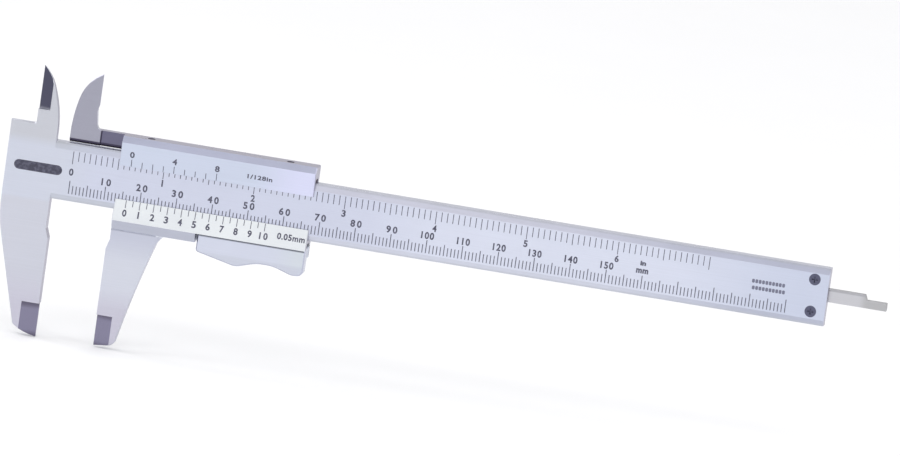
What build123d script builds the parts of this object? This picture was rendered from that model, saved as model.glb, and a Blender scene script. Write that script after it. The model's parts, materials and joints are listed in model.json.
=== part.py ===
"""Vernier caliper, 150 mm, with a spring-loaded thumb clamp, a depth rod and inside jaws.

Sizes are millimetres. X runs along the beam, from the fixed outside jaw's measuring face towards the
depth rod's tip. Z is up, from the outside jaws to the inside jaws. The graduated face looks along -Y.
The origin is the middle of the fixed outside jaw's measuring face, at half the beam's thickness.
The slider stands OPENING away from its closed place, and the thumb clamp is on.
"""

import os

from build123d import *

# ---------------------------------------------------------------- driving dimensions
OPENING = 16.3  # distance between the outside measuring faces as built
FACE_TOP = -19.2  # upper end of the outside measuring faces, below the beam's centreline
FACE_END = -46.8  # lower end of the fixed jaw, below the beam's centreline
BEAM_Z = -(FACE_TOP + FACE_END) / 2  # height of the beam's centreline above the origin

BEAM_HEIGHT = 16.0
BEAM_THICK = 3.5
BEAM_END = 215.0
HALF = BEAM_THICK / 2
TOP = BEAM_HEIGHT / 2

HEAD_LEFT = -14.4  # back of the fixed head
INSIDE_EDGE = -7.4  # measuring edge of the fixed inside jaw
INSIDE_TIP = 28.0  # height of both inside jaws' tips above the centreline
SHOULDER = 12.0  # flat top of the fixed head

ROD_LOW = -1.45  # lower and upper edges of the depth rod
ROD_HIGH = 2.25
ROD_MIDDLE = (ROD_LOW + ROD_HIGH) / 2
ROD_GAP = 0.2  # gap above and below the rod in its groove
GROOVE_FLOOR = -0.05
GROOVE_HEIGHT = ROD_HIGH - ROD_LOW + 2 * ROD_GAP
ROD_FRONT = 0.1
ROD_BACK = 1.65
ROD_START = 2.5  # rod's left end when the jaws are closed

SLIDE_GAP = 0.05  # running gap all round between the slider and the beam
SLIDER_LEFT = 0.8
SLIDER_RIGHT = 55.1
SLIDER_TOP = 12.5
SLIDER_BOTTOM = -13.4
SLIDER_BACK = 3.8
PLATE_TOP = 10.8  # outer edges of the two vernier faces
PLATE_BOTTOM = -10.8
UPPER_EDGE = 4.3  # graduated edges of the two vernier faces
LOWER_EDGE = -5.0
SHELF_BOTTOM = TOP + 0.25

GIB_THICK = 1.0
GIB_SCREWS = {"left": 8.2, "right": 47.2}
GIB_SCREW_R = 1.0
GIB_SCREW_Y = 0.3
GIB_LEFT = 1.6
GIB_RIGHT = SLIDER_RIGHT - 0.6

BROKEN = 0.2  # chamfer on outer edges
BACK_CHAMFER = 0.4  # chamfer on the slider's two long back edges

CLAMP_LEFT = 24.2  # left wall of the recess for the thumb lever
CLAMP_FRONT = -1.95
CLAMP_BACK = 2.45
LEVER_FRONT = -1.75
LEVER_BACK = 2.25
WEB_BOTTOM = -8.9  # thin floor of the slider between the beam and the lever
PIVOT = (30.7, -9.6)
PIN_R = 0.7
PIN_CLEARANCE = 0.03
PIN_REACH = 2.5  # from the beam's middle plane to the pin's front end
SHOE_X = 27.2
SHOE_LENGTH = 3.2
SHOE_WIDTH = 2.8
SHOE_GAP = 0.1  # between the shoe and the beam
SPRING_X = 42.0
SPRING_FLOOR = -13.5
SPRING_R = 1.15
WIRE_R = 0.18

ROD_SCREWS = {"left": 6.5, "right": 15.0}
ROD_HEAD_R = 1.5
ROD_SHANK_R = 0.75
KEY_LEFT = 3.0  # ends of the key that holds the rod
KEY_RIGHT = 18.5

END_PLATE_LEFT = 206.0
END_PLATE_THICK = 1.0
END_SCREW_X = 211.0
END_SCREWS = {"upper": 4.45, "lower": -4.45}
END_HEAD_R = 1.6
END_SHANK_R = 0.8

# ---------------------------------------------------------------- working planes
# Local x is X and local y is the height above the beam's centreline. Extrusions go towards -Y.
BEAM_PLANE = Plane(origin=(0, 0, BEAM_Z), x_dir=(1, 0, 0), z_dir=(0, -1, 0))
# The same plane carried by the slider, so that its sketches are drawn with the jaws closed.
SLIDE_PLANE = Plane(origin=(OPENING, 0, BEAM_Z), x_dir=(1, 0, 0), z_dir=(0, -1, 0))


def across(x):
    """The plane square to the beam at x. Local x is Y and local y is the height."""
    return Plane(origin=(x, 0, BEAM_Z), x_dir=(0, 1, 0), z_dir=(1, 0, 0))


def level(x, z):
    """The horizontal plane at height z. Local x is X, counted from x, and local y is Y."""
    return Plane(origin=(x, 0, BEAM_Z + z))


def at_depth(plane, y):
    """The given front plane moved to depth y."""
    return plane.offset(-y)


def finish(piece, label):
    """Names a finished piece and writes it out."""
    piece.part.label = label
    export_step(piece.part, f"parts/{label}.step")
    print(f"{label}: {piece.part.volume:.2f} mm3")


os.makedirs("parts", exist_ok=True)

# ---------------------------------------------------------------- main beam
RELIEF = -0.9  # undercut beside the jaw's root
TIP_BEVEL_Z = -37.4
TIP_BEVEL_LEFT = -4.8
EDGE_HALF = 0.35  # half the thickness left at an outside jaw's bevelled edge

with BuildPart() as main_beam:
    with BuildSketch(BEAM_PLANE):
        with BuildLine():
            Polyline(
                (0, FACE_END),
                (0, FACE_TOP),
                (RELIEF, FACE_TOP + 2.7),
                (RELIEF, -TOP),
                (BEAM_END, -TOP),
                (BEAM_END, TOP),
                (HEAD_LEFT, TOP),
                (HEAD_LEFT, -9),
            )
            back = TangentArc((HEAD_LEFT, -9), (-12.6, -21.5), tangent=(0, -1))
            Line(back @ 1, (-6.6, -43.9))
            ThreePointArc((-6.6, -43.9), (-3.1, -45.9), (0, FACE_END))
        make_face()
    extrude(amount=HALF, both=True)

    # The inside jaw and the head's shoulder fill only the front half of the thickness.
    with BuildSketch(at_depth(BEAM_PLANE, -0.05)):
        with BuildLine():
            Polyline(
                (-1.2, TOP - 1),
                (HEAD_LEFT, TOP - 1),
                (HEAD_LEFT, SHOULDER),
                (INSIDE_EDGE - 0.6, SHOULDER),
            )
            nook = TangentArc(
                (INSIDE_EDGE - 0.6, SHOULDER), (INSIDE_EDGE, SHOULDER + 0.6), tangent=(1, 0)
            )
            Line(nook @ 1, (INSIDE_EDGE, INSIDE_TIP))
            flank = TangentArc((-1.2, 10), (-3.8, 23.2), tangent=(0, 1))
            TangentArc(flank @ 1, (INSIDE_EDGE, INSIDE_TIP), tangent=flank % 1)
            Line((-1.2, TOP - 1), (-1.2, 10))
        make_face()
    extrude(amount=HALF - 0.05)

    # Groove for the depth rod, open at the back and at the right end.
    with BuildSketch(at_depth(BEAM_PLANE, HALF)):
        with Locations(((BEAM_END + 1.5) / 2, ROD_MIDDLE)):
            Rectangle(BEAM_END - 1.5, GROOVE_HEIGHT)
    extrude(amount=HALF - GROOVE_FLOOR, mode=Mode.SUBTRACT)

    # Ground bands along the graduated face's two long edges.
    with BuildSketch(across(RELIEF)):
        with BuildLine():
            Polyline((-HALF, -TOP), (-HALF, -TOP + 1.5), (-HALF + 0.3, -TOP), close=True)
        make_face()
    extrude(amount=BEAM_END - RELIEF, mode=Mode.SUBTRACT)
    with BuildSketch(across(-1.2)):
        with BuildLine():
            Polyline((-HALF, TOP), (-HALF, TOP - 1.8), (-HALF + 0.3, TOP), close=True)
        make_face()
    extrude(amount=BEAM_END + 1.2, mode=Mode.SUBTRACT)

    # Knife edge of the outside jaw, bevelled front and back.
    for side in (-1, 1):
        with BuildSketch(level(0, TIP_BEVEL_Z)):
            with BuildLine():
                Polyline(
                    (TIP_BEVEL_LEFT, side * HALF),
                    (1, side * HALF),
                    (1, side * (EDGE_HALF - 0.3)),
                    (0, side * EDGE_HALF),
                    close=True,
                )
            make_face()
        extrude(amount=FACE_END - TIP_BEVEL_Z - 1, mode=Mode.SUBTRACT)

    # Knife edge of the inside jaw, bevelled at the front only.
    with BuildSketch(level(0, 16)):
        with BuildLine():
            Polyline(
                (INSIDE_EDGE + 3.3, -HALF),
                (INSIDE_EDGE - 1, -HALF),
                (INSIDE_EDGE - 1, 0.1),
                (INSIDE_EDGE, -0.3),
                close=True,
            )
        make_face()
    extrude(amount=INSIDE_TIP - 16 + 1, mode=Mode.SUBTRACT)

    # Countersunk holes for the end screws.
    for height in END_SCREWS.values():
        with Locations(at_depth(BEAM_PLANE, -HALF)):
            with Locations((END_SCREW_X, height)):
                CounterSinkHole(END_SHANK_R, END_HEAD_R)

    # Broken edges at the back of the head and jaw, on the inside jaw's flank and at the beam's end.
    for y in (-HALF, HALF):
        flat = main_beam.faces().filter_by_position(Axis.Y, y, y).sort_by(SortBy.AREA)[-1]
        outer = flat.edges().filter_by_position(Axis.X, HEAD_LEFT, TIP_BEVEL_LEFT - 0.4)
        chamfer(outer.filter_by(lambda edge: edge.length > 5), BROKEN)
    flank = main_beam.edges().filter_by(GeomType.CIRCLE).filter_by_position(Axis.Y, -HALF, -HALF)
    chamfer(flank.filter_by_position(Axis.Z, BEAM_Z + 15, BEAM_Z + 20), BROKEN)
    end = main_beam.faces().filter_by(Axis.X).sort_by(Axis.X)[-1]
    outer = end.edges().filter_by(lambda edge: abs(edge.center().Y) > HALF - 0.5)
    chamfer(outer.filter_by(lambda edge: edge.length > 3), BROKEN)
finish(main_beam, "main_beam")

# ---------------------------------------------------------------- end stop plate and its screws
with BuildPart() as end_stop_plate:
    with BuildSketch(at_depth(BEAM_PLANE, HALF + END_PLATE_THICK)):
        with Locations(((END_PLATE_LEFT + BEAM_END) / 2, 0)):
            RectangleRounded(BEAM_END - END_PLATE_LEFT - 0.3, BEAM_HEIGHT - 0.8, 1.0)
    extrude(amount=END_PLATE_THICK)
    chamfer(end_stop_plate.faces().sort_by(Axis.Y)[-1].edges(), BROKEN)
    with BuildSketch(at_depth(BEAM_PLANE, HALF + END_PLATE_THICK)):
        with Locations(*[(END_SCREW_X, height) for height in END_SCREWS.values()]):
            Circle(END_SHANK_R)
    extrude(amount=END_PLATE_THICK, mode=Mode.SUBTRACT)
finish(end_stop_plate, "end_stop_plate")

HEAD_DEPTH = END_HEAD_R - END_SHANK_R
for name, height in END_SCREWS.items():
    with BuildPart() as end_screw:
        axis = Plane(origin=(END_SCREW_X, -HALF, BEAM_Z + height), z_dir=(0, 1, 0))
        with BuildSketch(axis):
            Circle(END_HEAD_R)
        with BuildSketch(axis.offset(HEAD_DEPTH)):
            Circle(END_SHANK_R)
        loft()
        with BuildSketch(axis):
            Circle(END_SHANK_R)
        extrude(amount=BEAM_THICK + END_PLATE_THICK)
        with BuildSketch(axis):
            Rectangle(1.7, 0.4)
            Rectangle(0.4, 1.7)
        extrude(amount=0.55, mode=Mode.SUBTRACT)
    finish(end_screw, f"end_screw_{name}")

# ---------------------------------------------------------------- slider
LIP_FRONT = -2.15  # front of the two graduated edges
UPPER_FRONT = -3.1
LOWER_FRONT = -3.35
INNER = HALF + SLIDE_GAP
JAW_TOE = FACE_END + 0.4
JAW_HEEL = (5.6, JAW_TOE + 0.9)  # back corner of the jaw's tip
JAW_RIGHT = 14.4
FLARE_RIGHT = JAW_RIGHT + 1.3  # where the jaw's flared web meets the housing
JAW_BEVEL_WIDTH = 4.4
BLADE_FRONT = 0.1
BLADE_BACK = 1.9
BLADE_LEFT = -14.3
BLADE_EDGE = -7.2
STEP_X = -5.8  # where the blade's root steps back

with BuildPart() as slider_body:
    # C-shaped housing round the beam, with the two sloping vernier faces.
    with BuildSketch(across(OPENING + SLIDER_LEFT)):
        with BuildLine():
            Polyline(
                (-INNER, UPPER_EDGE),
                (LIP_FRONT, UPPER_EDGE),
                (UPPER_FRONT, PLATE_TOP),
                (-1.9, SLIDER_TOP),
                (SLIDER_BACK - BACK_CHAMFER, SLIDER_TOP),
                (SLIDER_BACK, SLIDER_TOP - BACK_CHAMFER),
                (SLIDER_BACK, SLIDER_BOTTOM + BACK_CHAMFER),
                (SLIDER_BACK - BACK_CHAMFER, SLIDER_BOTTOM),
                (-2.3, SLIDER_BOTTOM),
                (LOWER_FRONT, PLATE_BOTTOM),
                (LIP_FRONT, LOWER_EDGE),
                (-INNER, LOWER_EDGE),
                (-INNER, -TOP - SLIDE_GAP),
                (INNER, -TOP - SLIDE_GAP),
                (INNER, TOP + GIB_THICK + SLIDE_GAP),
                (-INNER, TOP + GIB_THICK + SLIDE_GAP),
                close=True,
            )
        make_face()
    extrude(amount=SLIDER_RIGHT - SLIDER_LEFT)

    # Moving outside jaw.
    with BuildSketch(SLIDE_PLANE) as jaw:
        with BuildLine():
            Polyline(
                (JAW_RIGHT, SLIDER_BOTTOM),
                (JAW_RIGHT, SLIDER_BOTTOM + 1),
                (SLIDER_LEFT, SLIDER_BOTTOM + 1),
                (SLIDER_LEFT, FACE_TOP + 2.7),
                (0, FACE_TOP),
                (0, JAW_TOE),
                JAW_HEEL,
            )
            shin = ThreePointArc(JAW_HEEL, (8.8, -32.0), (JAW_RIGHT, SLIDER_BOTTOM))
        make_face()
        fillet(jaw.vertices().sort_by_distance(JAW_HEEL)[0], 1.8)
    extrude(amount=HALF, both=True)
    shins = slider_body.edges().filter_by(GeomType.CIRCLE).filter_by(lambda e: e.length > 20)
    chamfer(shins.filter_by_position(Axis.Z, BEAM_Z + JAW_TOE, BEAM_Z - 20), BROKEN)

    # Web that flares the jaw's back into the housing's underside.
    with BuildSketch(SLIDE_PLANE):
        with BuildLine():
            ThreePointArc(shin @ 0.87, (13.7, -15.6), (FLARE_RIGHT, SLIDER_BOTTOM))
            Polyline(
                (FLARE_RIGHT, SLIDER_BOTTOM),
                (FLARE_RIGHT, SLIDER_BOTTOM + 0.5),
                (JAW_RIGHT - 1.5, SLIDER_BOTTOM + 0.5),
                shin @ 0.87,
            )
        make_face()
    extrude(amount=HALF - BROKEN, both=True)

    # Concave fillet between the housing's underside and the jaw's front.
    with BuildSketch(across(OPENING + SLIDER_LEFT)):
        with BuildLine():
            Line((-2.3, SLIDER_BOTTOM), (-HALF + 0.2, SLIDER_BOTTOM))
            Line((-HALF + 0.2, SLIDER_BOTTOM), (-HALF + 0.2, SLIDER_BOTTOM - 0.9))
            Line((-HALF + 0.2, SLIDER_BOTTOM - 0.9), (-HALF, SLIDER_BOTTOM - 0.9))
            ThreePointArc(
                (-HALF, SLIDER_BOTTOM - 0.9),
                (-1.87, SLIDER_BOTTOM - 0.3),
                (-2.3, SLIDER_BOTTOM),
            )
        make_face()
    extrude(amount=13.3 - SLIDER_LEFT)

    # Knife edge of the moving outside jaw, bevelled front and back.
    for side in (-1, 1):
        with BuildSketch(level(OPENING, TIP_BEVEL_Z - 0.3)):
            with BuildLine():
                Polyline(
                    (JAW_BEVEL_WIDTH, side * HALF),
                    (-1, side * HALF),
                    (-1, side * (EDGE_HALF - 0.3)),
                    (0, side * EDGE_HALF),
                    close=True,
                )
            make_face()
        extrude(amount=JAW_TOE - TIP_BEVEL_Z - 1, mode=Mode.SUBTRACT)

    # Root of the inside jaw, which passes behind the fixed head's shoulder. It steps back at STEP_X.
    for start, end, front in (
        (BLADE_LEFT, STEP_X, BLADE_FRONT),
        (STEP_X, SLIDER_LEFT, BLADE_FRONT + 0.5),
    ):
        with BuildSketch(across(OPENING + start)):
            with BuildLine():
                Polyline(
                    (front + 0.4, SHELF_BOTTOM),
                    (front, SHELF_BOTTOM + 0.5),
                    (front, SLIDER_TOP),
                    (SLIDER_BACK - BACK_CHAMFER, SLIDER_TOP),
                    (SLIDER_BACK, SLIDER_TOP - BACK_CHAMFER),
                    (SLIDER_BACK, SHELF_BOTTOM),
                    close=True,
                )
            make_face()
        extrude(amount=end - start)

    # Blade of the inside jaw.
    with BuildSketch(at_depth(SLIDE_PLANE, BLADE_BACK)):
        with BuildLine():
            Line((BLADE_LEFT, SHELF_BOTTOM + 0.5), (BLADE_LEFT, 11))
            calf = TangentArc((BLADE_LEFT, 11), (-12.9, 21), tangent=(0, 1))
            TangentArc(calf @ 1, (BLADE_EDGE, INSIDE_TIP), tangent=calf % 1)
            Polyline(
                (BLADE_EDGE, INSIDE_TIP),
                (BLADE_EDGE, 19.5),
                (BLADE_EDGE - 0.5, 17.6),
                (BLADE_EDGE - 0.1, 14.0),
            )
            ThreePointArc(
                (BLADE_EDGE - 0.1, 14.0), (BLADE_EDGE + 0.4, 12.9), (STEP_X, SLIDER_TOP)
            )
            Polyline(
                (STEP_X, SLIDER_TOP),
                (STEP_X, SHELF_BOTTOM + 0.5),
                (BLADE_LEFT, SHELF_BOTTOM + 0.5),
            )
        make_face()
    extrude(amount=BLADE_BACK - BLADE_FRONT)

    # Knife edge of the moving inside jaw, bevelled at the back only.
    with BuildSketch(level(OPENING, 18)):
        with BuildLine():
            Polyline(
                (BLADE_EDGE - 3.3, BLADE_BACK),
                (BLADE_EDGE + 1, BLADE_BACK),
                (BLADE_EDGE + 1, BLADE_FRONT - 0.2),
                (BLADE_EDGE, BLADE_FRONT + 0.25),
                close=True,
            )
        make_face()
    extrude(amount=INSIDE_TIP - 18 + 1, mode=Mode.SUBTRACT)

    # Recess for the thumb lever. The front lip ends at the vernier face's lower edge.
    with BuildSketch(at_depth(SLIDE_PLANE, CLAMP_BACK)):
        with Locations(((CLAMP_LEFT + SLIDER_RIGHT) / 2, (WEB_BOTTOM + SLIDER_BOTTOM) / 2)):
            Rectangle(SLIDER_RIGHT - CLAMP_LEFT, WEB_BOTTOM - SLIDER_BOTTOM)
    extrude(amount=CLAMP_BACK - CLAMP_FRONT, mode=Mode.SUBTRACT)
    with BuildSketch(at_depth(SLIDE_PLANE, CLAMP_BACK)):
        with Locations(((CLAMP_LEFT + SLIDER_RIGHT) / 2, (PLATE_BOTTOM + SLIDER_BOTTOM) / 2)):
            Rectangle(SLIDER_RIGHT - CLAMP_LEFT, PLATE_BOTTOM - SLIDER_BOTTOM)
    extrude(amount=CLAMP_BACK + SLIDER_BACK, mode=Mode.SUBTRACT)

    # Openings in the thin floor for the brake shoe and for the lever's pivot boss.
    with BuildSketch(level(OPENING, -TOP - 0.6)):
        with Locations((SHOE_X, 0)):
            Rectangle(SHOE_LENGTH + 0.2, SHOE_WIDTH + 0.2)
        with Locations((PIVOT[0], (CLAMP_FRONT + CLAMP_BACK) / 2)):
            Rectangle(3.3, CLAMP_BACK - CLAMP_FRONT)
    extrude(amount=1.2, both=True, mode=Mode.SUBTRACT)

    # Blind seat for the pivot pin, drilled from the back.
    with BuildSketch(at_depth(SLIDE_PLANE, SLIDER_BACK)):
        with Locations(PIVOT):
            Circle(PIN_R)
    extrude(amount=SLIDER_BACK + PIN_REACH, mode=Mode.SUBTRACT)

    # Tapped holes for the gib screws.
    with BuildSketch(level(OPENING, SLIDER_TOP)):
        with Locations(*[(x, GIB_SCREW_Y) for x in GIB_SCREWS.values()]):
            Circle(GIB_SCREW_R + 0.02)
    extrude(amount=-(SLIDER_TOP - TOP - GIB_THICK), mode=Mode.SUBTRACT)

    # Key that reaches into the beam's groove and carries the depth rod, with its screw holes.
    with BuildSketch(at_depth(SLIDE_PLANE, INNER + 0.2)):
        with Locations(((KEY_LEFT + KEY_RIGHT) / 2, ROD_MIDDLE)):
            Rectangle(KEY_RIGHT - KEY_LEFT, ROD_HIGH - ROD_LOW)
    extrude(amount=INNER + 0.2 - ROD_BACK)
    back = Plane(origin=(OPENING, SLIDER_BACK, BEAM_Z + ROD_MIDDLE), x_dir=(1, 0, 0), z_dir=(0, 1, 0))
    with Locations(back):
        with Locations(*[(x, 0) for x in ROD_SCREWS.values()]):
            CounterSinkHole(ROD_SHANK_R, ROD_HEAD_R, depth=SLIDER_BACK - ROD_BACK)

    # Broken edges at both ends of the housing and along both jaws.
    ends = slider_body.faces().filter_by(Axis.X)
    right = ends.sort_by(Axis.X)[-1].edges()
    chamfer(right.filter_by(lambda e: abs(e.center().Y) > 2.48 or e.center().Z > BEAM_Z + 12), BROKEN)
    left = ends.filter_by_position(Axis.X, OPENING + SLIDER_LEFT, OPENING + SLIDER_LEFT)
    left = left.sort_by(SortBy.AREA)[-1].edges()
    chamfer(left.filter_by(lambda e: e.center().Y < -2.0 and e.length > 1), BROKEN)
    arcs = slider_body.edges().filter_by(GeomType.CIRCLE).filter_by(lambda e: e.length > 3)
    chamfer(arcs.filter_by_position(Axis.Z, BEAM_Z + 13, BEAM_Z + INSIDE_TIP), 0.15)
finish(slider_body, "slider_body")

# ---------------------------------------------------------------- gib and its screws
with BuildPart() as gib_strip:
    with BuildSketch(across(OPENING + GIB_LEFT)):
        with Locations((0, TOP + 0.03 + GIB_THICK / 2)):
            Rectangle(BEAM_THICK - 0.3, GIB_THICK - 0.04)
    extrude(amount=GIB_RIGHT - GIB_LEFT)
finish(gib_strip, "gib_strip")

for name, x in GIB_SCREWS.items():
    with BuildPart() as gib_screw:
        with BuildSketch(level(OPENING, TOP + GIB_THICK + 0.01)):
            with Locations((x, GIB_SCREW_Y)):
                Circle(GIB_SCREW_R)
        extrude(amount=SLIDER_TOP - TOP - GIB_THICK - 0.2)
        chamfer(gib_screw.edges().filter_by(GeomType.CIRCLE), 0.15)
        with BuildSketch(level(OPENING, SLIDER_TOP)):
            with Locations((x, GIB_SCREW_Y)):
                Rectangle(3, 0.35, rotation=30)
        extrude(amount=-0.8, mode=Mode.SUBTRACT)
    finish(gib_screw, f"gib_screw_{name}")

# ---------------------------------------------------------------- depth rod and its screws
with BuildPart() as depth_rod:
    with BuildSketch(at_depth(SLIDE_PLANE, ROD_BACK)):
        with BuildLine():
            Polyline(
                (ROD_START, ROD_LOW),
                (BEAM_END, ROD_LOW),
                (BEAM_END, 0.8),
                (BEAM_END - 5.6, 0.8),
                (BEAM_END - 6.2, ROD_HIGH),
                (ROD_START, ROD_HIGH),
                close=True,
            )
        make_face()
    extrude(amount=ROD_BACK - ROD_FRONT)
    chamfer(depth_rod.faces().filter_by(Axis.X).sort_by(Axis.X)[-1].edges(), 0.15)
    with BuildSketch(at_depth(SLIDE_PLANE, ROD_BACK)):
        with Locations(*[(x, ROD_MIDDLE) for x in ROD_SCREWS.values()]):
            Circle(ROD_SHANK_R)
    extrude(amount=1.1, mode=Mode.SUBTRACT)
finish(depth_rod, "depth_rod")

for name, x in ROD_SCREWS.items():
    with BuildPart() as rod_screw:
        axis = Plane(origin=(OPENING + x, SLIDER_BACK, BEAM_Z + ROD_MIDDLE), z_dir=(0, -1, 0))
        with BuildSketch(axis):
            Circle(ROD_HEAD_R)
        with BuildSketch(axis.offset(ROD_HEAD_R - ROD_SHANK_R)):
            Circle(ROD_SHANK_R)
        loft()
        with BuildSketch(axis):
            Circle(ROD_SHANK_R)
        extrude(amount=SLIDER_BACK - ROD_BACK + 1.0)
        with BuildSketch(axis):
            Rectangle(4, 0.4)
        extrude(amount=0.5, mode=Mode.SUBTRACT)
    finish(rod_screw, f"rod_screw_{name}")

# ---------------------------------------------------------------- thumb clamp
BOSS_R = 1.25
NOSE_TOP = -9.4
LEVER_LEFT = 24.7
LEVER_RIGHT = 54.9
LEVER_HEEL = -15.9
SADDLE = -16.6  # height of the hollow between the two lobes of the thumb rest
SADDLE_LEFT = 41.8
SADDLE_RIGHT = 46.4
LOBES = ((36.1, -18.4), (51.9, -18.35))  # corners that the two lobes follow
LEVER_TOE = -18.0

with BuildPart() as thumb_lever:
    with BuildSketch(at_depth(SLIDE_PLANE, LEVER_BACK)) as outline:
        with BuildLine():
            Polyline(
                (SHOE_X + 0.6, NOSE_TOP - 0.35),
                (PIVOT[0] - 1.0, NOSE_TOP - 0.35),
                (PIVOT[0] + 1.4, NOSE_TOP),
                (LEVER_RIGHT, -10.35),
                (LEVER_RIGHT, LEVER_TOE),
                LOBES[1],
                (SADDLE_RIGHT, SADDLE),
                (SADDLE_LEFT, SADDLE),
                LOBES[0],
                (LEVER_LEFT, LEVER_HEEL),
                (LEVER_LEFT, NOSE_TOP - 0.35),
                (SHOE_X - 0.6, NOSE_TOP - 0.35),
            )
            ThreePointArc(
                (SHOE_X - 0.6, NOSE_TOP - 0.35),
                (SHOE_X, NOSE_TOP),
                (SHOE_X + 0.6, NOSE_TOP - 0.35),
            )
        make_face()
        for x, z, radius in (
            (LEVER_LEFT, LEVER_HEEL, 0.9),
            (*LOBES[0], 5.0),
            (SADDLE_LEFT, SADDLE, 11.0),
            (SADDLE_RIGHT, SADDLE, 11.0),
            (*LOBES[1], 4.5),
            (LEVER_RIGHT, LEVER_TOE, 1.6),
        ):
            fillet(outline.vertices().sort_by_distance((x, z))[0], radius)
        with Locations(PIVOT):
            Circle(BOSS_R)
            Circle(PIN_R + PIN_CLEARANCE, mode=Mode.SUBTRACT)
    extrude(amount=LEVER_BACK - LEVER_FRONT)
    for y in (LEVER_FRONT, LEVER_BACK):
        flat = thumb_lever.faces().filter_by_position(Axis.Y, y, y)
        chamfer(flat.edges().filter_by_position(Axis.Z, BEAM_Z - 19, BEAM_Z - 12.6), 0.35)
    # Blind pocket for the spring.
    with BuildSketch(level(OPENING, SPRING_FLOOR)):
        with Locations((SPRING_X, (LEVER_FRONT + LEVER_BACK) / 2)):
            Circle(SPRING_R + WIRE_R + 0.25)
    extrude(amount=5, mode=Mode.SUBTRACT)
finish(thumb_lever, "thumb_lever")

with BuildPart() as lever_pivot_pin:
    with BuildSketch(at_depth(SLIDE_PLANE, SLIDER_BACK)):
        with Locations(PIVOT):
            Circle(PIN_R)
    extrude(amount=SLIDER_BACK + PIN_REACH)
    chamfer(lever_pivot_pin.edges().filter_by(GeomType.CIRCLE), 0.12)
finish(lever_pivot_pin, "lever_pivot_pin")

# Coil spring between the slider's floor and the bottom of the lever's pocket.
SPRING_LENGTH = WEB_BOTTOM - SPRING_FLOOR - 2 * WIRE_R - 0.04
SPRING_TURNS = 6
with BuildPart() as lever_spring:
    with BuildLine(level(OPENING + SPRING_X, SPRING_FLOOR + WIRE_R + 0.02)) as coil:
        with Locations((0, (LEVER_FRONT + LEVER_BACK) / 2)):
            Helix(SPRING_LENGTH / SPRING_TURNS, SPRING_LENGTH, SPRING_R)
    with BuildSketch(Plane(origin=coil.line @ 0, z_dir=coil.line % 0)):
        Circle(WIRE_R)
    sweep(is_frenet=True)
finish(lever_spring, "lever_spring")

SHOE_TOP = -TOP - SHOE_GAP
SHOE_BOTTOM = NOSE_TOP + 0.03
with BuildPart() as brake_shoe:
    with BuildSketch(at_depth(SLIDE_PLANE, SHOE_WIDTH / 2)):
        with Locations((SHOE_X, (SHOE_TOP + SHOE_BOTTOM) / 2)):
            Rectangle(SHOE_LENGTH, SHOE_TOP - SHOE_BOTTOM)
    extrude(amount=SHOE_WIDTH)
    chamfer(brake_shoe.edges().filter_by(Axis.Y), 0.15)
finish(brake_shoe, "brake_shoe")
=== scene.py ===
"""Looks of the vernier caliper: metals, graduations, numerals, floor, light and camera.

The scene is in metres, in the CAD's own frame. X runs along the beam, Z is up and the graduated face
looks along -Y. Sizes below are millimetres, which mm() turns into metres, with heights counted from the
beam's centreline. Only the floor, the lamps and the camera are given in metres.
"""

import json
import math

import bmesh
import bpy
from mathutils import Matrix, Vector

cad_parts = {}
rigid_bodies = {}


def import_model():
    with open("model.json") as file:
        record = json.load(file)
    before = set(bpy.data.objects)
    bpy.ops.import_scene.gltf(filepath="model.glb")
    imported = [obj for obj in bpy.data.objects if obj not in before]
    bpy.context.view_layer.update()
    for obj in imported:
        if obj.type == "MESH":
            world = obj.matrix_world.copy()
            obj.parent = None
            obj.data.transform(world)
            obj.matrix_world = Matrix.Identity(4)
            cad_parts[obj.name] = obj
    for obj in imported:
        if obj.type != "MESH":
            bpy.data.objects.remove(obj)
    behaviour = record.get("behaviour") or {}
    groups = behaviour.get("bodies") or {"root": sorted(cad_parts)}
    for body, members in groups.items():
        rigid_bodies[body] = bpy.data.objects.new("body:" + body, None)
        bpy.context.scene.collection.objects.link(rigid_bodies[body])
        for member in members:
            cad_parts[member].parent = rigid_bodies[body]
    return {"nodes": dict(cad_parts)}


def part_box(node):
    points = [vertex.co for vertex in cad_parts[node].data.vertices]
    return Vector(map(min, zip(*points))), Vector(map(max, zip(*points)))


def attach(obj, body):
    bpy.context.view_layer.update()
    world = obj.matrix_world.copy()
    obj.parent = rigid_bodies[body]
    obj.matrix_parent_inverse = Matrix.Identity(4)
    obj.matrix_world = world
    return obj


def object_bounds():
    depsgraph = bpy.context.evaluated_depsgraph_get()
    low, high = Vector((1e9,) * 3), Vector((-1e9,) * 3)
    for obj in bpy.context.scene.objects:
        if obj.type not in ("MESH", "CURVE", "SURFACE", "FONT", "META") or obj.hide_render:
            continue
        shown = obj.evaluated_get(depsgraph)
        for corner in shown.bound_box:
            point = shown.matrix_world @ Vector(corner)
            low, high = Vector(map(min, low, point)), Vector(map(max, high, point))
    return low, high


for leftover in list(bpy.data.objects):
    bpy.data.objects.remove(leftover)

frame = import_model()
cad_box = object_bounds()

# ---------------------------------------------------------------- sizes
MM = 0.001


def corners(node):
    """Lowest and highest corner of a CAD node in millimetres."""
    low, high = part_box(node)
    return low / MM, high / MM


beam_low = corners("main_beam")[0]
slider_high = corners("slider_body")[1]
plate_low, plate_high = corners("end_stop_plate")
SLIDER_LEFT = 0.8  # the slider's ends when the jaws are closed
SLIDER_RIGHT = 55.1
OPENING = slider_high.x - SLIDER_RIGHT  # how far the slider stands from its closed place
BEAM_Z = (plate_low.z + plate_high.z) / 2  # height of the beam's centreline
FACE_Y = beam_low.y  # graduated face of the beam

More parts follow.
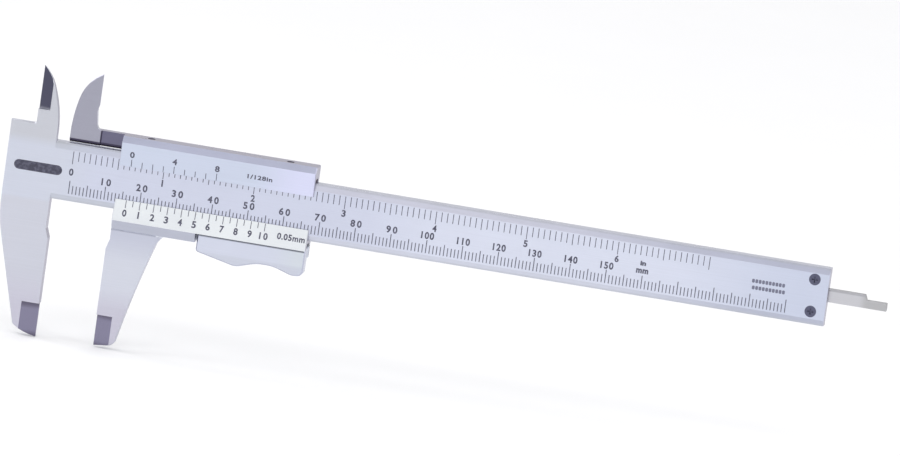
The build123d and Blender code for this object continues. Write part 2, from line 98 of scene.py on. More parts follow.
HALF_HEIGHT = 8.0  # half the beam's height
SLIDER_TOP = 12.5
SLIDER_BOTTOM = -13.4
BLADE_STEP = OPENING - 5.8  # where the moving inside jaw's root steps back
JAW_TIP = -46.8
JAW_BEVEL = -37.4  # upper end of the outside jaws' dark bevels
LIP_Y = -2.15  # front of both vernier faces at their graduated edges
UPPER_EDGE = 4.3  # graduated edge of the upper vernier face
UPPER_OUTER = 10.8
UPPER_OUTER_Y = -3.1
LOWER_EDGE = -5.0
LOWER_OUTER = -10.8
LOWER_OUTER_Y = -3.35


def mm(x, y, z):
    """A point given in millimetres, with z above the beam's centreline, in metres."""
    return Vector((x, y, z + BEAM_Z)) * MM


# ---------------------------------------------------------------- material nodes
def srgb(red, green, blue):
    """A linear colour from 8-bit sRGB values."""
    values = []
    for value in (red, green, blue):
        value /= 255
        values.append(value / 12.92 if value < 0.04045 else ((value + 0.055) / 1.055) ** 2.4)
    return (*values, 1.0)


class Graph:
    """A material's node tree, with short calls for the nodes used here."""

    def __init__(self, name):
        self.material = bpy.data.materials.new(name)
        self.material.use_nodes = True
        self.tree = self.material.node_tree
        self.tree.nodes.clear()
        coordinates = self.node("ShaderNodeTexCoord")
        self.object = coordinates.outputs["Object"]
        place = self.node("ShaderNodeSeparateXYZ", {"Vector": self.object})
        self.x = self.math("MULTIPLY", place.outputs["X"], 1 / MM)
        self.y = self.math("MULTIPLY", place.outputs["Y"], 1 / MM)
        height = self.math("MULTIPLY", place.outputs["Z"], 1 / MM)
        self.z = self.math("SUBTRACT", height, BEAM_Z)
        facing = self.node("ShaderNodeSeparateXYZ", {"Vector": coordinates.outputs["Normal"]})
        self.nx, self.ny, self.nz = (facing.outputs[axis] for axis in "XYZ")

    def node(self, kind, inputs=None, **settings):
        made = self.tree.nodes.new(kind)
        for name, value in settings.items():
            setattr(made, name, value)
        for key, value in (inputs or {}).items():
            self.feed(made.inputs[key], value)
        return made

    def feed(self, socket, value):
        if isinstance(value, bpy.types.NodeSocket):
            self.tree.links.new(value, socket)
        else:
            socket.default_value = value

    def math(self, operation, first, second=0.0):
        made = self.node("ShaderNodeMath", {0: first, 1: second}, operation=operation)
        return made.outputs[0]

    def rise(self, value, start, end):
        """0 below start and 1 above end, or the other way round where start is the larger."""
        inputs = {"Value": value, "From Min": start, "From Max": end}
        made = self.node("ShaderNodeMapRange", inputs, interpolation_type="SMOOTHSTEP")
        return made.outputs["Result"]

    def both(self, *masks):
        """The product of several masks."""
        result = masks[0]
        for mask in masks[1:]:
            result = self.math("MULTIPLY", result, mask)
        return result

    def between(self, value, low, high, soft=0.05):
        """1 from low to high and 0 outside."""
        return self.both(
            self.rise(value, low - soft, low + soft), self.rise(value, high + soft, high - soft)
        )

    def noise(self, stretch, detail=3.0, roughness=0.55):
        """Noise whose grains are 1/stretch millimetres long in each direction."""
        scaled = self.node(
            "ShaderNodeMapping",
            {"Vector": self.object, "Scale": [value / MM for value in stretch]},
        )
        made = self.node(
            "ShaderNodeTexNoise",
            {"Vector": scaled.outputs[0], "Scale": 1.0, "Detail": detail, "Roughness": roughness},
        )
        return made.outputs["Fac"]

    def mixer(self, kind, mask, first, second, **settings):
        """The result of a Mix node, where kind is Color or Float."""
        data_type = {"Color": "RGBA", "Float": "FLOAT"}[kind]
        made = self.node("ShaderNodeMix", data_type=data_type, **settings)
        for socket, value in (("Factor_Float", mask), (f"A_{kind}", first), (f"B_{kind}", second)):
            self.feed(next(s for s in made.inputs if s.identifier == socket), value)
        return next(s for s in made.outputs if s.identifier == f"Result_{kind}")

    def blend(self, mask, first, second):
        """Colour first where the mask is 0 and second where it is 1."""
        return self.mixer("Color", mask, first, second)

    def mix(self, mask, first, second):
        """Number first where the mask is 0 and second where it is 1."""
        return self.mixer("Float", mask, first, second)

    def shade(self, value, low, high):
        """A factor from low to high that follows a 0 to 1 value, as a grey colour."""
        factor = self.math("ADD", self.math("MULTIPLY", value, high - low), low)
        made = self.node("ShaderNodeCombineColor", {0: factor, 1: factor, 2: factor})
        return made.outputs[0]

    def multiply(self, colour, grey):
        return self.mixer("Color", 1.0, colour, grey, blend_type="MULTIPLY")

    def bump(self, height, strength, distance):
        """A normal from a height, with the distance in millimetres."""
        made = self.node(
            "ShaderNodeBump", {"Height": height, "Strength": strength, "Distance": distance * MM}
        )
        return made.outputs[0]

    def finish(self, colour, roughness, metallic=1.0, normal=None, **extra):
        inputs = {"Base Color": colour, "Roughness": roughness, "Metallic": metallic}
        inputs.update(extra)
        if normal is not None:
            inputs["Normal"] = normal
        shader = self.node("ShaderNodeBsdfPrincipled", inputs)
        self.node("ShaderNodeOutputMaterial", {"Surface": shader.outputs[0]})
        return self.material


# Colours of the finishes as seen under the studio light, with much light and shade painted in: faces of
# one metal get lighter or darker tones by the way they face, bands along the parts are painted lighter or
# darker, and gaps, recesses and holes get painted shade.
# Painted shade: the upper part of the head is darker.
HEAD_TOP_SHADE = srgb(200, 202, 210)
HEAD = srgb(207, 211, 224)
FACE = srgb(207, 211, 228)
# Painted reflection and shade along the beam's face: lighter from its middle on, darker at its right end.
FACE_SHEEN = srgb(216, 220, 235)
FACE_END_SHADE = srgb(203, 209, 227)
STRIP = srgb(214, 215, 230)  # ground bands along the beam's two long edges, painted lit above and shaded below
# Painted shade on these bands: darker towards the right end, darker on the lower band and at its left,
# and a darker line along the outer edges.
STRIP_END_SHADE = srgb(192, 195, 213)
STRIP_LOW_SHADE = srgb(203, 206, 219)
STRIP_LOW_END_SHADE = srgb(182, 186, 202)
STRIP_LOW_LEFT_SHADE = srgb(194, 198, 209)
STRIP_EDGE_SHADE = srgb(186, 189, 196)
PLATE = srgb(202, 209, 226)  # vernier faces; painted reflection makes the upper one lighter towards its right end and the lower one near white
PLATE_RIGHT_SHEEN = srgb(214, 216, 240)
PLATE_LOW_SHEEN = srgb(247, 251, 255)
GROUND = srgb(204, 206, 217)  # outside jaws
GROUND_WARM = srgb(200, 198, 212)
# Painted shade: the moving outside jaw is darker at its top, under the slider.
SHIN_TOP_SHADE = srgb(196, 199, 214)
SHIN = srgb(209, 212, 223)
SLOPE_SHADE = srgb(188, 191, 211)  # slopes beyond the vernier faces' outer edges, painted darker as shade, the lower one darker still
SLOPE_LOW_SHADE = srgb(184, 187, 200)
BLADE_SHADE = srgb(164, 164, 178)  # moving inside jaw, painted darker as shade
# Painted shade in the recess at the moving inside jaw's root, and painted shadow in the gap under that
# jaw, beside its step and in the gib screws' holes.
RECESS_SHADE = srgb(112, 110, 132)
GAP_SHADOW = srgb(72, 68, 86)
BEVEL = srgb(133, 130, 152)  # knife edges at the jaws' tips, painted dark as shade, deeper in places
KNIFE_DEEP_SHADE = srgb(102, 98, 116)
# Painted shade on the inside jaws' bevels.
INSIDE_BEVEL_SHADE = srgb(80, 80, 97)
TOPS_SHADE = srgb(180, 182, 196)  # narrow faces between the front and the back, painted darker as shade; the slider's top face and the end faces darker still
TOP_FACE_SHADE = srgb(148, 144, 162)
ENDS_SHADE = srgb(152, 150, 168)
BACK = srgb(186, 189, 200)
LEVER = srgb(211, 215, 230)
LEVER_RIGHT = srgb(211, 217, 225)
# Painted shade: the lever's lower part and side faces are darker, and a painted shadow of the lower
# vernier face falls across its top.
LEVER_LOW_SHADE = srgb(204, 208, 221)
LEVER_RIM_SHADE = srgb(188, 191, 208)
LEVER_PLATE_SHADOW = srgb(92, 96, 108)
ROD = srgb(199, 199, 204)
ROD_TIP = srgb(182, 182, 184)
# Painted shade: the rod's top edge and its side faces are darker.
ROD_TOP_SHADE = srgb(176, 176, 181)
ROD_EDGE_SHADE = srgb(140, 140, 142)
INK_DARK = srgb(68, 68, 86)
INK_WORN = srgb(99, 99, 118)
CAPTION_INK = srgb(112, 114, 134)
BADGE_DARK = srgb(58, 58, 76)
BADGE_WORN = srgb(92, 92, 112)
FLOOR = srgb(249, 249, 249)


def shared_wear(g, colour, rough, grain_depth=0.25):
    """Fine lapping lines along X, cloudy tone and a satin grain. Returns colour, roughness and relief."""
    lines = g.noise((0.05, 2.0, 6.0), 4.0)
    cloud = g.noise((0.04, 0.1, 0.08), 2.0)
    grain = g.noise((7.0, 7.0, 7.0), 2.0)
    colour = g.multiply(colour, g.shade(lines, 0.95, 1.05))
    colour = g.multiply(colour, g.shade(cloud, 0.96, 1.04))
    rough = g.math("ADD", rough, g.math("MULTIPLY", g.math("SUBTRACT", cloud, 0.5), 0.14))
    return colour, rough, g.bump(grain, grain_depth, 0.004)


def bevel_tone(g):
    """Painted shade on an outside jaw's ground bevel: darker beside its upper edge and at its tip."""
    upper = g.rise(g.z, JAW_BEVEL - 2.0, JAW_BEVEL - 0.4)
    deep = g.math("MAXIMUM", upper, g.rise(g.z, JAW_TIP + 2.0, JAW_TIP))
    return g.blend(deep, BEVEL, KNIFE_DEEP_SHADE)


def screw_hole(g, node):
    """Mask of the hole in the slider's top that a gib screw sits in, for the painted shadow there."""
    low, high = corners(node)
    across = g.math("POWER", g.math("SUBTRACT", g.x, (low.x + high.x) / 2), 2.0)
    along = g.math("POWER", g.math("SUBTRACT", g.y, (low.y + high.y) / 2), 2.0)
    radius = (high.x - low.x) / 2
    distance = g.math("SQRT", g.math("ADD", across, along))
    inside = g.rise(distance, radius + 0.14, radius + 0.1)
    return g.both(inside, g.rise(g.z, SLIDER_TOP - 1.0, SLIDER_TOP - 0.8))


def beam_material():
    g = Graph("satin_chrome_beam")
    front = g.rise(g.ny, -0.5, -0.9)
    colour = g.blend(g.rise(g.x, 0.0, 12.0), HEAD, FACE)
    # Painted reflection along the face: lighter from the middle on, darker again at the right end.
    colour = g.blend(g.rise(g.x, 78.0, 112.0), colour, FACE_SHEEN)
    colour = g.blend(g.rise(g.x, 165.0, 210.0), colour, FACE_END_SHADE)
    # Painted shade on the upper part of the head.
    colour = g.blend(g.both(g.rise(g.z, 5.5, 9.0), g.rise(g.x, 5.0, 0.0)), colour, HEAD_TOP_SHADE)
    jaw = g.rise(g.z, -HALF_HEIGHT - 0.3, -HALF_HEIGHT - 1.5)
    colour = g.blend(jaw, colour, g.blend(g.rise(g.z, -26.0, -40.0), GROUND, GROUND_WARM))
    strips = g.both(g.rise(g.math("ABSOLUTE", g.nz), 0.08, 0.13), front)
    # Painted light and shade on the bands along the long edges: darker towards the right end, the lower
    # band darker and darker again at its left, with a painted shade line along the outer edges.
    strip = g.blend(g.rise(g.x, 120.0, 205.0), STRIP, STRIP_END_SHADE)
    colour = g.blend(g.both(strips, g.rise(g.x, 8.0, 26.0)), colour, strip)
    low_strip = g.blend(g.rise(g.x, 150.0, 205.0), STRIP_LOW_SHADE, STRIP_LOW_END_SHADE)
    low_strip = g.blend(g.rise(g.x, 30.0, 15.0), low_strip, STRIP_LOW_LEFT_SHADE)
    colour = g.blend(g.both(strips, g.rise(g.z, 0.0, -1.0)), colour, low_strip)
    line = g.both(strips, g.rise(g.math("ABSOLUTE", g.z), HALF_HEIGHT - 0.7, HALF_HEIGHT - 0.3))
    colour = g.blend(g.math("MULTIPLY", line, 0.5), colour, STRIP_EDGE_SHADE)
    # Painted shade on the outside jaws' knife bevels.
    knife = g.both(g.rise(g.nx, 0.12, 0.2), front, g.rise(g.z, JAW_BEVEL + 1.4, JAW_BEVEL + 0.4))
    colour = g.blend(knife, colour, bevel_tone(g))
    # Painted shade on the inside jaws' bevels.
    inside = g.both(g.rise(g.nx, -0.12, -0.2), front, g.rise(g.z, 15.0, 17.0))
    colour = g.blend(inside, colour, INSIDE_BEVEL_SHADE)
    # Painted shade: the narrow faces and the right end face darker than the front.
    edge = g.both(g.rise(g.ny, -0.8, -0.4), g.rise(g.ny, 0.8, 0.5))
    colour = g.blend(edge, colour, TOPS_SHADE)
    colour = g.blend(g.rise(g.nx, 0.7, 0.9), colour, ENDS_SHADE)
    colour = g.blend(g.rise(g.ny, 0.8, 0.95), colour, BACK)
    rough = g.mix(g.both(jaw, front), 0.36, 0.3)
    rough = g.mix(g.math("MAXIMUM", knife, inside), rough, 0.18)
    rough = g.mix(edge, rough, 0.28)
    colour, rough, relief = shared_wear(g, colour, rough)
    return g.finish(colour, rough, normal=relief)


def slider_material():
    g = Graph("satin_chrome_slider")
    front = g.rise(g.ny, -0.5, -0.8)
    # Painted reflection: the upper vernier face lighter towards its right end, the lower one near white.
    upper = g.blend(g.rise(g.x, OPENING + 36.0, OPENING + 52.0), PLATE, PLATE_RIGHT_SHEEN)
    colour = g.blend(g.rise(g.z, LOWER_EDGE + 0.1, LOWER_EDGE + 0.3), PLATE_LOW_SHEEN, upper)
    jaw = g.rise(g.z, SLIDER_BOTTOM + 0.1, SLIDER_BOTTOM - 0.5)
    # Painted shade at the top of the moving outside jaw.
    shin = g.blend(g.rise(g.z, -14.0, -24.0), SHIN_TOP_SHADE, SHIN)
    shin = g.blend(g.rise(g.z, -28.0, -38.0), shin, GROUND_WARM)
    colour = g.blend(jaw, colour, shin)
    top_slope = g.both(g.rise(g.nz, 0.3, 0.4), g.rise(g.z, UPPER_OUTER - 0.3, UPPER_OUTER))
    low_slope = g.both(g.rise(g.nz, -0.27, -0.34), g.rise(g.z, LOWER_OUTER + 0.3, LOWER_OUTER))
    # Painted shade on the slopes beyond the vernier faces.
    colour = g.blend(g.both(top_slope, front), colour, SLOPE_SHADE)
    colour = g.blend(g.both(low_slope, front), colour, SLOPE_LOW_SHADE)
    left = OPENING + SLIDER_LEFT
    blade = g.both(g.rise(g.x, left + 0.1, left - 0.2), g.rise(g.z, HALF_HEIGHT, HALF_HEIGHT + 0.2))
    # Painted shade: the moving inside jaw is darker.
    colour = g.blend(blade, colour, BLADE_SHADE)
    block = g.both(blade, g.rise(g.x, BLADE_STEP - 0.1, BLADE_STEP + 0.1))
    # Painted shade in the recess at the moving inside jaw's root.
    colour = g.blend(block, colour, RECESS_SHADE)
    # Painted shadow lines beside the recess's step and under the moving inside jaw.
    step = g.both(blade, g.between(g.x, BLADE_STEP - 0.15, BLADE_STEP + 0.2))
    step = g.both(step, g.rise(g.z, SLIDER_TOP + 0.1, SLIDER_TOP - 0.2))
    under = g.both(blade, g.rise(g.z, 9.35, 9.1))
    colour = g.blend(g.both(front, g.math("MAXIMUM", step, under)), colour, GAP_SHADOW)
    # Painted shade on the moving jaw's knife bevel.
    knife = g.both(g.rise(g.nx, -0.12, -0.2), front, g.rise(g.z, JAW_BEVEL + 1.4, JAW_BEVEL + 0.4))
    colour = g.blend(knife, colour, bevel_tone(g))
    # Painted shade: the narrow faces darker, the top face and the right end face darker still.
    edge = g.both(g.rise(g.ny, -0.75, -0.4), g.rise(g.ny, 0.8, 0.5))
    colour = g.blend(edge, colour, TOPS_SHADE)
    top_face = g.both(edge, g.rise(g.nz, 0.8, 0.9), g.rise(g.z, SLIDER_TOP - 0.5, SLIDER_TOP - 0.3))
    colour = g.blend(top_face, colour, TOP_FACE_SHADE)
    right_end = g.both(g.rise(g.nx, 0.6, 0.8), g.rise(g.x, OPENING + 50.0, OPENING + 51.0))
    colour = g.blend(right_end, colour, ENDS_SHADE)
    colour = g.blend(g.rise(g.ny, 0.8, 0.95), colour, BACK)
    # Painted shadow in the gib screws' holes.
    for screw in ("gib_screw_left", "gib_screw_right"):
        colour = g.blend(screw_hole(g, screw), colour, GAP_SHADOW)
    rough = g.mix(g.both(jaw, front), 0.34, 0.3)
    rough = g.mix(knife, rough, 0.18)
    slopes = g.math("MAXIMUM", top_slope, low_slope)
    rough = g.mix(slopes, rough, 0.3)
    rough = g.mix(edge, rough, 0.28)
    colour, rough, relief = shared_wear(g, colour, rough, g.mix(slopes, 0.25, 0.03))
    return g.finish(colour, rough, normal=relief)


def lever_material():
    g = Graph("satin_chrome_lever")
    front = g.rise(g.ny, -0.5, -0.8)
    colour = g.blend(g.rise(g.x, OPENING + 44.0, OPENING + 54.0), LEVER, LEVER_RIGHT)
    # Painted shade: the lever's lower part is darker.
    colour = g.blend(g.rise(g.z, -15.0, -16.5), colour, LEVER_LOW_SHADE)
    # Painted shadow of the lower vernier face across the lever's top.
    plate_shadow = g.both(g.rise(g.z, -11.7, -11.2), front)
    colour = g.blend(plate_shadow, colour, LEVER_PLATE_SHADOW)
    # Painted shade on the lever's side faces.
    rim = g.both(g.rise(g.ny, -0.97, -0.9), g.rise(g.ny, 0.8, 0.5))
    colour = g.blend(rim, colour, LEVER_RIM_SHADE)
    colour = g.blend(g.rise(g.ny, 0.8, 0.95), colour, BACK)
    rough = g.mix(rim, 0.34, 0.26)
    colour, rough, relief = shared_wear(g, colour, rough)
    return g.finish(colour, rough, normal=relief)


def rod_material():
    g = Graph("ground_rod")
    rod_high = corners("depth_rod")[1]
    rod_top = rod_high.z - BEAM_Z
    colour = g.blend(g.rise(g.x, rod_high.x - 8.0, rod_high.x - 5.5), ROD, ROD_TIP)
    # Painted shade along the rod's top edge.
    colour = g.blend(g.rise(g.z, rod_top - 0.8, rod_top - 0.5), colour, ROD_TOP_SHADE)
    # Painted shade on the rod's side faces.
    edge = g.both(g.rise(g.ny, -0.8, -0.4), g.rise(g.ny, 0.8, 0.5))
    colour = g.blend(edge, colour, ROD_EDGE_SHADE)
    colour, rough, relief = shared_wear(g, colour, 0.3)
    return g.finish(colour, rough, normal=relief)


def plain_metal(name, colour, roughness, stretch, contrast=0.06, relief=0.003):
    """A metal with grinding lines: stretch gives the lines' grains in each direction."""
    g = Graph(name)
    lines = g.noise(stretch, 4.0)
    cloud = g.noise((0.12, 0.12, 0.12), 2.0)
    shaded = g.multiply(colour, g.shade(lines, 1 - contrast, 1 + contrast))
    shaded = g.multiply(shaded, g.shade(cloud, 0.94, 1.06))
    rough = g.math("ADD", roughness - 0.06, g.math("MULTIPLY", cloud, 0.12))
    return g.finish(shaded, rough, normal=g.bump(lines, 0.3, relief))


def ink_material():
    g = Graph("scale_ink")
    worn = g.noise((1.3, 1.3, 1.3), 3.0)
    fine = g.noise((9.0, 9.0, 9.0), 2.0)
    colour = g.blend(g.rise(worn, 0.35, 0.75), INK_DARK, INK_WORN)
    caption = g.both(g.rise(g.x, 191.0, 192.0), g.rise(g.z, -1.5, -1.3))
    colour = g.blend(caption, colour, CAPTION_INK)
    badge = g.blend(g.rise(worn, 0.35, 0.75), BADGE_DARK, BADGE_WORN)
    colour = g.blend(g.rise(g.x, 2.2, 1.8), colour, badge)
    rough = g.math("ADD", 0.42, g.math("MULTIPLY", fine, 0.2))
    return g.finish(colour, rough, metallic=0.0, normal=g.bump(fine, 0.3, 0.003))


MATERIALS = {
    "main_beam": beam_material(),
    "slider_body": slider_material(),
    "thumb_lever": lever_material(),
    "depth_rod": rod_material(),
    "end_stop_plate": plain_metal("satin_plate", srgb(190, 193, 206), 0.36, (0.1, 2.0, 6.0)),
    "black_oxide": plain_metal("black_oxide", srgb(98, 99, 119), 0.42, (3.0, 3.0, 3.0), 0.12),
    "dark_steel": plain_metal("dark_steel", srgb(70, 68, 84), 0.36, (4.0, 4.0, 4.0), 0.1),
    "gib_strip": plain_metal("phosphor_bronze", srgb(142, 112, 84), 0.4, (0.2, 4.0, 4.0)),
    "lever_pivot_pin": plain_metal("ground_pin", srgb(188, 190, 200), 0.28, (5.0, 0.3, 5.0)),
    "lever_spring": plain_metal("spring_steel", srgb(140, 142, 154), 0.3, (4.0, 4.0, 4.0)),
    "brake_shoe": plain_metal("brass_shoe", srgb(200, 170, 98), 0.32, (0.4, 4.0, 4.0)),
}
OF_NODE = {
    "end_screw_upper": "black_oxide",
    "end_screw_lower": "black_oxide",
    "gib_screw_left": "dark_steel",
    "gib_screw_right": "dark_steel",
    "rod_screw_left": "dark_steel",
    "rod_screw_right": "dark_steel",
}
# Width of the rounded edges, in millimetres.
EDGE = {
    "main_beam": 0.06,
    "slider_body": 0.06,
    "thumb_lever": 0.06,
    "depth_rod": 0.05,
    "end_stop_plate": 0.05,
}


def soften_edges(node, width):
    """Joins the flat faces' triangles and rounds the sharp edges between them."""
    weld = node.modifiers.new("weld", "WELD")
    weld.merge_threshold = 0.001 * MM
    flat = node.modifiers.new("flat", "DECIMATE")
    flat.decimate_type = "DISSOLVE"
    flat.angle_limit = math.radians(0.3)
    edge = node.modifiers.new("edge", "BEVEL")
    edge.width = width * MM
    edge.segments = 2
    edge.limit_method = "ANGLE"
    edge.angle_limit = math.radians(30)


for name, node in frame["nodes"].items():
    node.data.materials.clear()
    node.data.materials.append(MATERIALS[OF_NODE.get(name, name)])
    if name in EDGE:
        soften_edges(node, EDGE[name])

# ---------------------------------------------------------------- graduations
INK = 0.012  # how far the inked marks stand proud
INK_MATERIAL = ink_material()


def on_beam(z):
    """Each surface function gives the depth Y at a height. The beam's face is flat."""
    return FACE_Y


def on_upper_plate(z):
    """The vernier faces slope from their graduated edges out to their outer edges."""
    return LIP_Y + (UPPER_OUTER_Y - LIP_Y) * (z - UPPER_EDGE) / (UPPER_OUTER - UPPER_EDGE)


def on_lower_plate(z):
    return LIP_Y + (LOWER_OUTER_Y - LIP_Y) * (z - LOWER_EDGE) / (LOWER_OUTER - LOWER_EDGE)


def inked(name, shape, body):
    """Turns a finished bmesh into an inked piece that rides on a CAD body."""
    bmesh.ops.recalc_face_normals(shape, faces=shape.faces)
    mesh = bpy.data.meshes.new(name)
    shape.to_mesh(mesh)
    shape.free()
    made = bpy.data.objects.new(name, mesh)
    bpy.context.scene.collection.objects.link(made)
    mesh.materials.append(INK_MATERIAL)
    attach(made, body)


def slab(shape, outline, surface):
    """Adds a thin inked slab to a bmesh. The outline's points are (x, z) on the given surface."""
    rings = [
        [shape.verts.new(mm(x, surface(z) - lift, z)) for x, z in outline]
        for lift in (-INK, INK)
    ]
    count = len(outline)
    for index in range(count):
        following = (index + 1) % count
        shape.faces.new((rings[0][index], rings[0][following], rings[1][following], rings[1][index]))
    shape.faces.new(rings[1])
    shape.faces.new(list(reversed(rings[0])))


def slabs(name, body, surface, outlines):
    """One piece with a slab for each outline."""
    shape = bmesh.new()
    for outline in outlines:
        slab(shape, outline, surface)
    inked(name, shape, body)


def round_end(x, z, radius, start, steps):
    """Points of half a circle, anticlockwise from the angle start."""
    angles = [start + math.pi * step / steps for step in range(steps + 1)]
    return [(x + radius * math.cos(angle), z + radius * math.sin(angle)) for angle in angles]


def tick_outline(x, low, high, width, steps=4):
    """A graduation line with round ends."""
    radius = width / 2
    top = round_end(x, high - radius, radius, 0.0, steps)
    return top + round_end(x, low + radius, radius, math.pi, steps)


def scale(name, body, surface, ticks, width):
    """One piece with all of a scale's lines. Each tick is (x, lower end, upper end)."""
    slabs(name, body, surface, [tick_outline(x, low, high, width) for x, low, high in ticks])


def lettering(name, body, surface, labels, weight=0.034):
    """One piece with several labels. Each is (text, centre x, centre z, height, width, spacing), where a
    width of 0 keeps the letters' own proportions. The weight thickens the letters' strokes."""
    shape = bmesh.new()
    for text, x, z, height, width, spacing in labels:
        curve = bpy.data.curves.new("label", "FONT")
        curve.body = text
        curve.resolution_u = 4
        curve.extrude = 0.01
        curve.space_character = spacing
        curve.offset = weight
        source = bpy.data.objects.new("label", curve)
        bpy.context.scene.collection.objects.link(source)
        bpy.context.view_layer.update()
        depsgraph = bpy.context.evaluated_depsgraph_get()
        letters = bpy.data.meshes.new_from_object(source.evaluated_get(depsgraph))
        bpy.data.objects.remove(source)
        points = [vertex.co for vertex in letters.vertices]
        left, right = min(p.x for p in points), max(p.x for p in points)
        low, high = min(p.y for p in points), max(p.y for p in points)
        factor = height / (high - low)
        stretch = width / (right - left) if width else factor
        for vertex in letters.vertices:
            across = x + (vertex.co.x - (left + right) / 2) * stretch
            up = z + (vertex.co.y - (low + high) / 2) * factor
            lift = INK if vertex.co.z > 0 else -INK
            vertex.co = mm(across, surface(up) - lift, up)
        shape.from_mesh(letters)
        bpy.data.meshes.remove(letters)
    bmesh.ops.remove_doubles(shape, verts=shape.verts, dist=0.001 * MM)
    inked(name, shape, body)


ZERO = 4.0  # the scales' zero, right of the fixed measuring face
MM_SCALE = 200
INCH = 25.4
INCH_SCALE = 7
INCH_PARTS = 16
LINE = 0.2  # widths of the graduation lines
LINE_MM = 0.24

ticks = []
for index in range(MM_SCALE + 1):
    top = -2.3 if index % 10 == 0 else -2.85 if index % 5 == 0 else -3.6
    ticks.append((ZERO + index, -6.0, top))
scale("mm_graduations", "beam", on_beam, ticks, LINE_MM)

ticks = []
for index in range(INCH_SCALE * INCH_PARTS + 1):
    bottom = 2.3 if index % INCH_PARTS == 0 else 2.8 if index % 8 == 0 else 3.2
    ticks.append((ZERO + index * INCH / INCH_PARTS, bottom, 5.9))
scale("inch_graduations", "beam", on_beam, ticks, LINE)

VERNIER = OPENING + ZERO
MM_VERNIER = 39 / 20  # 20 divisions over 39 mm
INCH_VERNIER = INCH * 15 / 16 / 8  # 8 divisions over 15/16 inch

ticks = []
for index in range(9):
    ticks.append((VERNIER + index * INCH_VERNIER, UPPER_EDGE + 0.05, 6.4 if index % 4 == 0 else 6.0))
scale("inch_vernier_graduations", "slider", on_upper_plate, ticks, LINE)

ticks = []
for index in range(21):
    ticks.append((VERNIER + index * MM_VERNIER, -7.2 if index % 2 == 0 else -6.6, LOWER_EDGE - 0.05))
scale("mm_vernier_graduations", "slider", on_lower_plate, ticks, LINE)

SLIM = 0.45  # how much narrower a number that starts with 1 is


def numerals(values, start, step, z, height, digit, pitches):
    """Labels for a row of numbers, where 0 would stand at start and each 1 more is a step further.
    digit is one digit's width, and pitches holds the distance between digits by digit count. A lone 1
    keeps its own width, given as 0."""
    labels = []
    for value in values:
        text = str(value)
        pitch = pitches[len(text) - 1]
        slim = SLIM if text[0] == "1" else 0.0
        width = 0.0 if text == "1" else digit + pitch * (len(text) - 1) - slim
        labels.append((text, start + value * step, z, height, width, 0.4 + 0.7 * pitch / digit))
    return labels


lettering(
    "mm_numerals",
    "beam",
    on_beam,
    numerals((0,), ZERO, 1.0, 0.1, 2.0, 1.25, (0,))
    + numerals(range(10, 151, 10), ZERO, 1.0, -1.1, 2.0, 1.25, (0, 1.85, 1.4)),
)
lettering(
    "inch_numerals",
    "beam",
    on_beam,
    numerals(range(1, INCH_SCALE), ZERO, INCH, 1.15, 1.9, 1.15, (0,)),
)
lettering(
    "unit_legends",
    "beam",
    on_beam,
    [("in", 163.8, 1.1, 1.3, 1.6, 1.0), ("mm", 163.8, -1.1, 1.25, 3.4, 1.1)],
    weight=0.05,
)
lettering(
    "inch_vernier_numerals",
    "slider",
    on_upper_plate,
    numerals((0, 4, 8), VERNIER, INCH_VERNIER, 7.7, 1.7, 1.3, (0,))
    + [("1/128in", 56.1, 7.15, 1.25, 7.0, 1.1)],
)
lettering(
    "mm_vernier_numerals",
    "slider",
    on_lower_plate,
    numerals(range(11), VERNIER, 2 * MM_VERNIER, -8.5, 1.9, 1.2, (0, 1.6))
    + [("0.05mm", 66.9, -7.75, 1.75, 7.8, 1.1)],
)


def rounded_bar(x, z, length, height, steps=8):
    """The outline of a bar with round ends."""
    radius = height / 2
    right = round_end(x + length / 2 - radius, z, radius, -math.pi / 2, steps)
    return right + round_end(x - length / 2 + radius, z, radius, math.pi / 2, steps)


def block(x, z, length, height, cut=0.18):
    """The outline of a small block with its corners cut off."""
    half, tall = length / 2, height / 2
    points = []
    for across, up in ((1, -1), (1, 1), (-1, 1), (-1, -1)):
        near = (x + across * (half - cut), z + up * tall)
        side = (x + across * half, z + up * (tall - cut))
        points.extend((near, side) if across * up < 0 else (side, near))
    return points


BLOCKS = 10  # small blocks in each row of the caption
BLOCK_PITCH = 0.93

slabs("plain_badge", "beam", on_beam, [rounded_bar(-5.3, 0, 13.5, 2.7)])
slabs(
    "plain_caption",
    "beam",
    on_beam,
    [
        block(start + BLOCK_PITCH * index, z, 0.76, 1.05)
        for z, start in ((1.35, 194.4), (-0.5, 194.6))
        for index in range(BLOCKS)
    ],
)

# ---------------------------------------------------------------- floor
SPAN = 1.7  # half the floor's side, in metres
SOLID = 0.9  # from here to SPAN the floor fades out into the pale surroundings


def floor_material():
    g = Graph("pale_floor")
    mottle = g.noise((0.02, 0.02, 0.02), 2.0)
    reach = g.math("SQRT", g.math("ADD", g.math("POWER", g.x, 2.0), g.math("POWER", g.y, 2.0)))
    solid = g.rise(reach, SPAN / MM, SOLID / MM)
    tone = g.multiply(FLOOR, g.shade(mottle, 0.99, 1.01))
    return g.finish(tone, 0.8, metallic=0.0, Alpha=solid)


floor_mesh = bpy.data.meshes.new("floor")
floor_corners = [(-SPAN, -SPAN, 0), (SPAN, -SPAN, 0), (SPAN, SPAN, 0), (-SPAN, SPAN, 0)]
floor_mesh.from_pydata(floor_corners, [], [(0, 1, 2, 3)])
floor_mesh.materials.append(floor_material())
floor = bpy.data.objects.new("floor", floor_mesh)
floor.location = (0.1, 0, cad_box[0].z - 0.0001)
bpy.context.scene.collection.objects.link(floor)

# ---------------------------------------------------------------- light
MIDDLE = Vector((0.1098, -0.00175, 0.035))  # the camera and the lamps look here


def aim(thing, point):
    thing.rotation_euler = (point - thing.location).to_track_quat("-Z", "Y").to_euler()


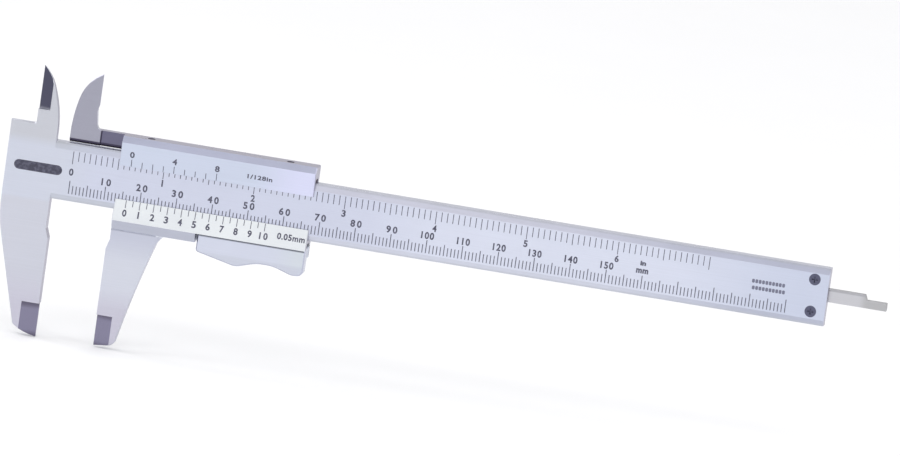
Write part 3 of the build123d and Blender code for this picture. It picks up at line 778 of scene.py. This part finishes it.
def area_light(name, place, width, height, power):
    """A rectangular lamp: place and size in metres, power in watts."""
    lamp = bpy.data.lights.new(name, "AREA")
    lamp.shape = "RECTANGLE"
    lamp.size = width
    lamp.size_y = height
    lamp.energy = power
    made = bpy.data.objects.new(name, lamp)
    bpy.context.scene.collection.objects.link(made)
    made.location = place
    aim(made, MIDDLE)


area_light("key", (-1.2, -0.1, 1.3), 1.2, 1.2, 12)
area_light("fill", (1.4, -0.3, 1.1), 1.2, 1.0, 8)
area_light("front", (0.1, -1.2, 1.2), 1.4, 0.5, 5)
area_light("rim", (0.3, 1.6, 1.1), 1.6, 0.8, 4)

# The surroundings are white at the horizon and light grey overhead.
world = bpy.data.worlds.new("studio")
bpy.context.scene.world = world
world.use_nodes = True
tree = world.node_tree
tree.nodes.clear()
direction = tree.nodes.new("ShaderNodeTexCoord")
split = tree.nodes.new("ShaderNodeSeparateXYZ")
ramp = tree.nodes.new("ShaderNodeValToRGB")
background = tree.nodes.new("ShaderNodeBackground")
output = tree.nodes.new("ShaderNodeOutputWorld")
tree.links.new(direction.outputs["Generated"], split.inputs[0])
tree.links.new(split.outputs["Z"], ramp.inputs[0])
tree.links.new(ramp.outputs[0], background.inputs["Color"])
tree.links.new(background.outputs[0], output.inputs["Surface"])
horizon, overhead = ramp.color_ramp.elements
horizon.position = 0.0
horizon.color = (1.0, 1.0, 1.0, 1)
overhead.position = 0.75
overhead.color = (0.62, 0.62, 0.64, 1)
background.inputs["Strength"].default_value = 0.88

# ---------------------------------------------------------------- camera
AZIMUTH = math.radians(8.5)
ELEVATION = math.radians(9.5)
ROLL = math.radians(8.0)
DISTANCE = 5.0
VIEW_WIDTH = 0.2452  # width of the picture at the caliper, in metres
SENSOR = 36

toward = Vector(
    (
        math.sin(AZIMUTH) * math.cos(ELEVATION),
        -math.cos(AZIMUTH) * math.cos(ELEVATION),
        math.sin(ELEVATION),
    )
)
lens = bpy.data.cameras.new("camera")
camera = bpy.data.objects.new("camera", lens)
bpy.context.scene.collection.objects.link(camera)
camera.location = MIDDLE + DISTANCE * toward
aim(camera, MIDDLE)
camera.rotation_euler.rotate_axis("Z", ROLL)
lens.sensor_width = SENSOR
lens.lens = SENSOR * DISTANCE / VIEW_WIDTH
lens.clip_end = 100
bpy.context.scene.camera = camera
bpy.context.scene.view_settings.view_transform = "Standard"
